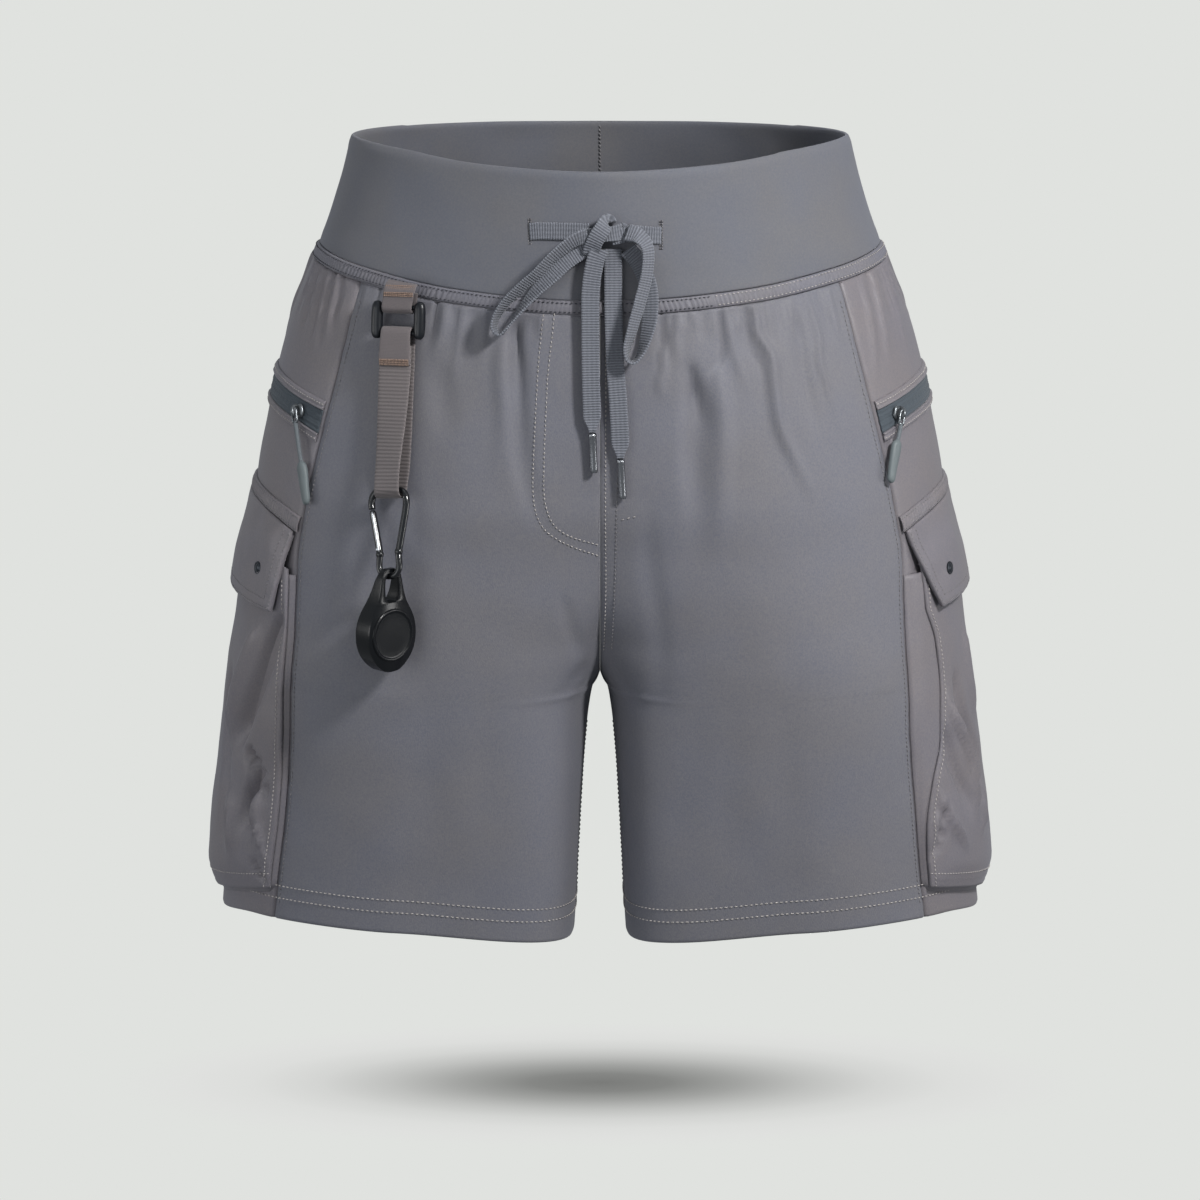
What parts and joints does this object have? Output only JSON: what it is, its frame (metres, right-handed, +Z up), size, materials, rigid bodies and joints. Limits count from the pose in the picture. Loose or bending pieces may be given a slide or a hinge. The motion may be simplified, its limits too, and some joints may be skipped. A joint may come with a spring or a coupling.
{
  "type": "running shorts held up by the wearer's waist and hips",
  "caption": "Stretch-woven running shorts in worn form, with a wide waistband, tied flat drawstring, cargo pockets, slanted side zips and a webbing strap with carabiner and fob.",
  "frame": {"origin": "centre of the waist opening, in the plane of the top of the waistband at the side seams, where the wearer's waist holds the garment", "axes": "+Z up, out of the waist opening; the front faces -Y; +X is the wearer's left"},
  "size_m": [0.4648, 0.274, 0.469],
  "materials": {
    "shell_cloth": "matt smooth stretch woven, slight sheen",
    "band_cloth": "matt brushed stretch knit",
    "side_cloth": "matt smooth stretch woven, slight sheen",
    "zip_tape": "coated water-resistant zip tape",
    "cord_tape": "ribbed flat braid",
    "webbing": "ribbed woven webbing",
    "zip_metal": "satin grey paint",
    "grip_rubber": "matt moulded rubber",
    "black_plastic": "satin moulded acetal",
    "black_metal": "gloss black lacquer",
    "tip_metal": "plated metal"
  },
  "bodies": {
    "garment": {"back_left": "shell_cloth", "back_right": "shell_cloth", "bow_knot": "cord_tape", "bow_loop_left": "cord_tape", "bow_loop_right": "cord_tape", "drawstring_end_left": "cord_tape", "drawstring_end_right": "cord_tape", "drawstring_run_left": "cord_tape", "drawstring_run_right": "cord_tape", "drawstring_tip_left": "tip_metal", "drawstring_tip_right": "tip_metal", "front_left": "shell_cloth", "front_right": "shell_cloth", "hang_loop": "webbing", "pocket_face_left": "side_cloth", "pocket_face_right": "side_cloth", "pocket_flap_band_left": "side_cloth", "pocket_flap_band_right": "side_cloth", "pocket_flap_left": "side_cloth", "pocket_flap_right": "side_cloth", "pocket_gusset_left": "side_cloth", "pocket_gusset_right": "side_cloth", "pocket_snap_left": "black_metal", "pocket_snap_right": "black_metal", "side_left": "side_cloth", "side_right": "side_cloth", "strap": "webbing", "strap_ring": "black_plastic", "waist_casing": "shell_cloth", "waistband": "band_cloth", "zip_slider_left": "zip_metal", "zip_slider_right": "zip_metal", "zip_tape_left": "zip_tape", "zip_tape_right": "zip_tape", "zip_welt_lower_left": "side_cloth", "zip_welt_lower_right": "side_cloth", "zip_welt_upper_left": "side_cloth", "zip_welt_upper_right": "side_cloth"},
    "zip_pull_right": {"zip_link_right": "zip_metal", "zip_cord_right": "grip_rubber", "zip_grip_right": "grip_rubber"},
    "zip_pull_left": {"zip_link_left": "zip_metal", "zip_cord_left": "grip_rubber", "zip_grip_left": "grip_rubber"},
    "carabiner": {"carabiner_frame": "black_metal"},
    "gate": {"carabiner_gate": "black_metal"},
    "fob": {"fob_case": "black_plastic", "fob_disc": "black_plastic"}
  },
  "joints": [
    {"name": "zip_pull_right_swing", "type": "hinge", "parent": "garment", "child": "zip_pull_right", "pos_m": [-0.17536, -0.05979, -0.14952], "axis": [-0.6204, 0.6865, -0.3791], "range_deg": [0, 110]},
    {"name": "zip_pull_left_swing", "type": "hinge", "parent": "garment", "child": "zip_pull_left", "pos_m": [0.17335, -0.06264, -0.15024], "axis": [-0.632, -0.6391, 0.4383], "range_deg": [0, 110]},
    {"name": "carabiner_swing", "type": "hinge", "parent": "garment", "child": "carabiner", "pos_m": [-0.11943, -0.11351, -0.18517], "axis": [-0.8699, 0.4735, -0.138], "range_deg": [0, 60]},
    {"name": "gate_open", "type": "hinge", "parent": "carabiner", "child": "gate", "pos_m": [-0.12442, -0.1227, -0.21932], "axis": [0.4925, 0.8197, -0.2924], "range_deg": [0, 24], "stiffness_Nm_per_rad": 0.02, "springref_deg": -11.46},
    {"name": "fob_swing", "type": "hinge", "parent": "carabiner", "child": "fob", "pos_m": [-0.11875, -0.13028, -0.23105], "axis": [-0.8699, 0.4735, -0.138], "range_deg": [0, 40]}
  ]
}
